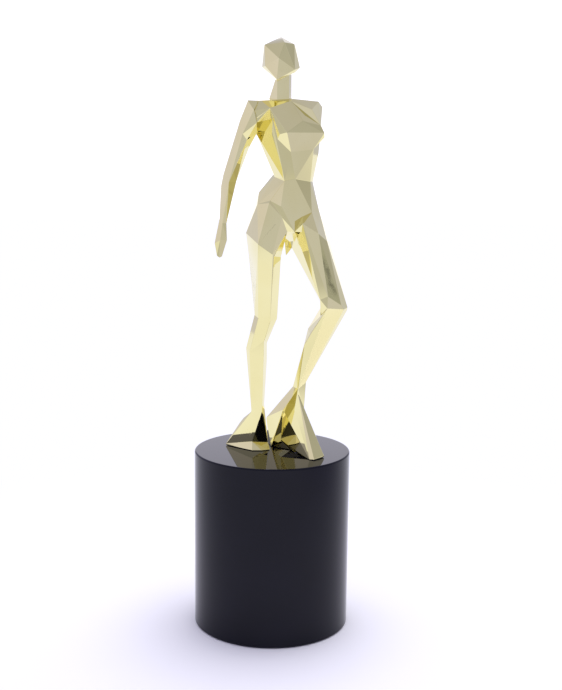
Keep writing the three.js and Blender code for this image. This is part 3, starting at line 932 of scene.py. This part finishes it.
@dataclass
class DrumBase:
    """The gloss black drum, turned from one outline, with its screw bosses and felt pad.

    Attributes:
        rim_rounding: Radius of the top rim.
        wall: Thickness of the drum's wall.
        top: Thickness of the face that the figure stands on.
        rebate: Thickness of the rim round the bottom plate.
        fit: Gap between the bottom plate and the ledge above it.
        boss_radius: Radius of a screw boss.
        boss_hole: Radius of the hole in it.
        boss_height: Its height.
        boss_sunk: How far it runs into the wall.
        boss_count: Number of bosses.
        felt_rounding: Radius of the felt's edges.
        rounding_steps: Facets round each rounded corner.
        support: Distance from a corner to the point that keeps its shading crisp.
        drum_sides: Facets round the drum.
        boss_sides: Facets round a boss.
        felt_sides: Facets round the felt.
    """

    rim_rounding: float = 0.8 * MM
    wall: float = 3.5 * MM
    top: float = 4.5 * MM
    rebate: float = 1.75 * MM
    fit: float = 0.3 * MM
    boss_radius: float = 4.5 * MM
    boss_hole: float = 1.8 * MM
    boss_height: float = 12.0 * MM
    boss_sunk: float = 0.8 * MM
    boss_count: int = 3
    felt_rounding: float = 0.45 * MM
    rounding_steps: int = 10
    support: float = 0.35 * MM
    drum_sides: int = 256
    boss_sides: int = 32
    felt_sides: int = 160

    def rounded(self, radius: float, top: float, rounding: float) -> Outline:
        """A rounded outer corner, with support points beside it.

        Args:
            radius: The outer radius.
            top: The height of the face above the corner.
            rounding: The corner's own radius.

        Returns:
            The outline's points, from the side up to the top face.
        """
        arc = []
        for step in range(self.rounding_steps + 1):
            angle = math.pi / 2 * step / self.rounding_steps
            arc.append((radius - rounding * (1 - math.cos(angle)),
                        top - rounding * (1 - math.sin(angle))))
        return [(radius, top - rounding - self.support), *arc, (radius - rounding - self.support, top)]

    def shell_outline(self, low: Vector, high: Vector, rebate_top: float) -> Outline:
        """The drum's outline.

        Args:
            low: The CAD shell's lowest corner.
            high: The CAD shell's highest corner.
            rebate_top: Height of the rebate that takes the bottom plate.

        Returns:
            The outline, from the middle of the ceiling round to the middle of the top face.
        """
        radius, ceiling, near = high.x, high.z - self.top, self.support
        inner, seat = radius - self.wall, radius - self.rebate
        return [
            (0.0, ceiling), (inner - near, ceiling), (inner, ceiling), (inner, ceiling - near),
            (inner, rebate_top + near), (inner, rebate_top), (inner + near, rebate_top),
            (seat - near, rebate_top), (seat, rebate_top), (seat, rebate_top - near),
            (seat, low.z + near), (seat, low.z),
            (seat + near, low.z), (radius - near, low.z), (radius, low.z), (radius, low.z + near),
            *self.rounded(radius, high.z, self.rim_rounding), (0.0, high.z),
        ]

    def build(self) -> None:
        """Builds the drum, its screw bosses and the felt pad."""
        gloss, felt = GlossBlack(), PressedFelt()
        low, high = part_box("base_shell")
        rebate_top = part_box("bottom_plate")[1].z + self.fit
        drum = Turning("base_drum", self.shell_outline(low, high, rebate_top), gloss,
                       sides=self.drum_sides)
        finish_piece(drum.build(), gloss, "base_shell")

        middle = high.x - self.wall - self.boss_radius + self.boss_sunk
        boss_top = rebate_top + self.boss_height
        tube = [(self.boss_hole, rebate_top), (self.boss_radius, rebate_top),
                (self.boss_radius, boss_top), (self.boss_hole, boss_top), (self.boss_hole, rebate_top)]
        bosses = Turning("screw_bosses", tube, gloss, sides=self.boss_sides, count=self.boss_count,
                         circle=middle, start=math.pi / 2, smooth=False)
        finish_piece(bosses.build(), gloss)

        pad_low, pad_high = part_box("felt_pad")
        edge = self.rounded(pad_high.x, pad_high.z, self.felt_rounding)
        below = [(radius, pad_low.z + pad_high.z - height) for radius, height in reversed(edge)]
        pad = Turning("felt_disc", [(0.0, pad_low.z), *below, *edge, (0.0, pad_high.z)], felt,
                      sides=self.felt_sides)
        finish_piece(pad.build(), felt, "felt_pad")


@dataclass
class HiddenHardware:
    """What holds the trophy together out of sight: CAD nodes that keep their shape."""

    steel: tuple[str, ...] = ("dowel", "stud", "washer", "nut", "screw", "bolt")
    iron: str = "ballast_weight"

    def build(self, nodes: dict[str, bpy.types.Object]) -> None:
        """Dresses every CAD node that still shows.

        Args:
            nodes: The frame's CAD nodes.
        """
        for name, node in sorted(nodes.items()):
            if node.hide_render:
                continue
            if any(word in name for word in self.steel):
                finish = ZincSteel()
            elif name == self.iron:
                finish = CastIron()
            else:
                finish = MouldedBoard()
            finish.dress(node)
            LOG.info("dressed %s with %s", name, finish.name)


# ---- the studio ----------------------------------------------------------------------------------


@dataclass(frozen=True)
class Glow:
    """A soft round patch of the studio's surroundings, seen in the polish.

    Attributes:
        towards: The way to its middle.
        colour: Its colour.
        edge: Cosine of the angle from its middle at which it starts.
        full: Cosine of the angle within which it has its full colour.
    """

    towards: Point
    colour: Colour
    edge: float
    full: float


@dataclass(frozen=True)
class Streak:
    """A thin, slightly crooked dark line in the surroundings, such as the edge of a stand.

    Attributes:
        towards: The way to its middle.
        across: The way at a right angle to the line and to its middle.
        half_width: Half its width, in radians.
        edge: Cosine of the angle from its middle at which it starts.
        full: Cosine of the angle within which it is darkest.
        core: The share of the half width that is darkest.
        bends: The pattern of its bends, each as wide as the line.
        colour: Its colour.
    """

    towards: Point
    across: Point
    half_width: float
    edge: float
    full: float
    core: float = 1 / 3
    bends: Pattern = Pattern(70.0, 2.0, 0.3, 0.7)
    colour: Colour = (0.02, 0.02, 0.02)


@dataclass
class Studio:
    """Pale floor, partly glowing with painted light, soft surroundings, one large soft light and the
    camera.

    Attributes:
        camera_place: Where the camera stands.
        camera_down: Its tilt below level, in radians.
        camera_roll: Its roll, in radians.
        camera_lens: Focal length in millimetres.
        camera_sensor: The longer side of the sensor in millimetres.
        camera_clip: The nearest and farthest distance that it shows.
        floor_radius: Radius of the floor.
        floor_sides: Facets round it.
        floor_near: Colour of the lit paper round the trophy.
        sweep_glow_colour: Colour that the floor farther off glows with, painted light.
        front_painted_shade: Dimmer glow of the floor far in front, painted shade.
        side_painted_shade: Dimmer bluish glow of the floor at the figure's left, painted shade.
        lit_reach: Distances over which the lit paper gives way to the glowing sweep.
        front_reach: Distances over which the painted shade in front comes in.
        front_depth: Values of Y over which the painted shade in front begins.
        side_width: Values of X over which the painted shade at the side begins.
        side_depth: Values of Y over which the painted shade at the side begins.
        paper: The paper's tooth.
        paper_depth: Its depth.
        room: Tone of the plain room.
        glows: The soft patches in it.
        streaks: The thin dark lines in it.
        soft_power: Power of the soft light in watts.
        soft_size: Its diameter.
        soft_place: Where it hangs.
        soft_target: What it points at.
    """

    camera_place: Point = (3.985 * MM, -531.2 * MM, 227.5 * MM)
    camera_down: float = 0.1527
    camera_roll: float = 0.0105
    camera_lens: float = 54.976
    camera_sensor: float = 36.0
    camera_clip: Span = (0.01, 50.0)
    floor_radius: float = 6.0
    floor_sides: int = 96
    floor_near: Colour = (0.95, 0.94, 0.98)
    # Painted light: the floor beyond the lit paper glows with these colours; the dimmer front and side
    # ones are painted shade.
    sweep_glow_colour: Colour = (1.0, 1.0, 1.15)
    front_painted_shade: Colour = (0.57, 0.57, 0.68)
    side_painted_shade: Colour = (0.66, 0.65, 0.86)
    lit_reach: Span = (0.11, 0.32)
    front_reach: Span = (0.7, 1.1)
    front_depth: Span = (0.3, -0.3)
    side_width: Span = (0.15, 0.45)
    side_depth: Span = (0.25, -0.05)
    paper: Pattern = Pattern(900.0, 3.0)
    paper_depth: float = 0.02 * MM
    room: Colour = (0.62, 0.62, 0.80)
    glows: tuple[Glow, ...] = (
        Glow((-1.0, 0.05, 0.10), (0.76, 0.73, 1.00), 0.45, 0.92),
        Glow((0.0, 0.0, 1.0), (0.54, 0.53, 0.67), 0.35, 0.62),
        Glow((0.88, -0.08, 0.47), (0.44, 0.44, 0.53), 0.88, 0.96),
        Glow((0.745, -0.582, 0.326), (0.42, 0.43, 0.50), 0.965, 0.985),
        Glow((0.808, 0.545, 0.225), (0.44, 0.44, 0.52), 0.990, 0.996),
        Glow((0.0, 1.0, 0.0), (1.30, 1.27, 1.45), 0.90, 0.955),
    )
    streaks: tuple[Streak, ...] = (
        Streak((0.7650, -0.5751, 0.2899), (0.5368, 0.8181, 0.2065), 0.0022, 0.99976, 0.99985),
    )
    soft_power: float = 22.0
    soft_size: float = 1.6
    soft_place: Point = (0.2, 0.35, 1.7)
    soft_target: Point = (0.0, 0.0, 0.1)

    def world(self) -> None:
        """Paints the surroundings as soft patches and thin lines on a plain room."""
        world = bpy.data.worlds.new("studio_surroundings")
        bpy.context.scene.world = world
        world.use_nodes = True
        graph = Graph(world.node_tree)
        look = graph.add("ShaderNodeTexCoord").outputs["Generated"]
        colour: object = self.room
        for glow in self.glows:
            inside = graph.ramp(graph.facing(look, glow.towards), glow.edge, glow.full)
            colour = graph.blend(inside, colour, glow.colour)
        for streak in self.streaks:
            inside = graph.ramp(graph.facing(look, streak.towards), streak.edge, streak.full)
            bend = graph.patches(look, streak.bends, -streak.half_width, streak.half_width)
            off = graph.math("ABSOLUTE", graph.math("ADD", graph.facing(look, streak.across), bend))
            line = graph.ramp(off, streak.half_width, streak.half_width * streak.core)
            colour = graph.blend(graph.math("MULTIPLY", line, inside), colour, streak.colour)
        back = graph.add("ShaderNodeBackground", {"Color": colour, "Strength": 1.0})
        graph.add("ShaderNodeOutputWorld", {"Surface": back.outputs[0]})

    def floor(self) -> None:
        """Lays the pale floor: lit paper near the trophy, and farther off a sweep that glows as painted
        light, bright behind it, with painted shade in front and at the figure's left.
        """
        mesh = bpy.data.meshes.new("studio_floor")
        shape = bmesh.new()
        bmesh.ops.create_circle(shape, cap_ends=True, radius=self.floor_radius,
                                segments=self.floor_sides)
        shape.to_mesh(mesh)
        shape.free()
        floor = new_piece("studio_floor", mesh)
        material = bpy.data.materials.new("paper_floor_with_painted_glow")
        material.use_nodes = True
        graph = Graph(material.node_tree)
        place = graph.add("ShaderNodeTexCoord").outputs["Object"]
        apart = graph.add("ShaderNodeSeparateXYZ", {0: place}).outputs
        reach = graph.add("ShaderNodeVectorMath", {0: place}, operation="LENGTH").outputs["Value"]
        paper = graph.bump(graph.noise(place, self.paper), self.paper_depth)
        lit = graph.add("ShaderNodeBsdfDiffuse", {"Color": (*self.floor_near, 1.0), "Normal": paper})
        # Painted shade: masks for where the glowing floor is dimmer in front and bluish at the figure's
        # left.
        front_shade_mask = graph.math("MULTIPLY", graph.ramp(reach, *self.front_reach),
                              graph.ramp(apart[1], *self.front_depth))
        beside = graph.math("MULTIPLY", graph.ramp(apart[0], *self.side_width),
                            graph.ramp(apart[1], *self.side_depth))
        # Painted light: the floor farther off is an emission whose colour stands in for how it is lit.
        tone = graph.blend(front_shade_mask, self.sweep_glow_colour, self.front_painted_shade)
        sweep = graph.add("ShaderNodeEmission", {"Color": graph.blend(beside, tone, self.side_painted_shade)})
        surface = graph.add("ShaderNodeMixShader", {
            0: graph.ramp(reach, *self.lit_reach), 1: lit.outputs[0], 2: sweep.outputs[0]})
        graph.add("ShaderNodeOutputMaterial", {"Surface": surface.outputs[0]})
        mesh.materials.append(material)

    def light(self) -> None:
        """Hangs one large soft light, which the polish doesn't mirror."""
        lamp = bpy.data.lights.new("soft_overhead", "AREA")
        lamp.shape, lamp.size, lamp.energy = "DISK", self.soft_size, self.soft_power
        hung = bpy.data.objects.new("soft_overhead", lamp)
        bpy.context.scene.collection.objects.link(hung)
        hung.location = self.soft_place
        aim = Vector(self.soft_target) - hung.location
        hung.rotation_euler = aim.to_track_quat("-Z", "Y").to_euler()
        hung.visible_glossy = False
        hung.visible_camera = False

    def camera(self) -> None:
        """Sets up the camera."""
        data = bpy.data.cameras.new("camera")
        data.lens, data.sensor_width = self.camera_lens, self.camera_sensor
        data.clip_start, data.clip_end = self.camera_clip
        camera = bpy.data.objects.new("camera", data)
        bpy.context.scene.collection.objects.link(camera)
        camera.location = self.camera_place
        camera.rotation_mode = "QUATERNION"
        ahead = Vector((0, math.cos(self.camera_down), -math.sin(self.camera_down)))
        level = ahead.to_track_quat("-Z", "Y")
        camera.rotation_quaternion = level @ Quaternion((0.0, 0.0, 1.0), self.camera_roll)
        bpy.context.scene.camera = camera

    def build(self) -> None:
        """Builds the studio."""
        scene = bpy.context.scene
        scene.view_settings.view_transform = "Standard"
        scene.view_settings.look = "None"
        self.world()
        self.floor()
        self.light()
        self.camera()
        LOG.info("built the studio")


def main() -> None:
    """Builds the trophy and the studio."""
    logging.basicConfig(level=logging.INFO, format="%(message)s")
    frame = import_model()
    GildedFigure().build(frame["nodes"])
    DrumBase().build()
    HiddenHardware().build(frame["nodes"])
    Studio().build()
    bpy.context.view_layer.update()


if __name__ == "__main__":
    main()
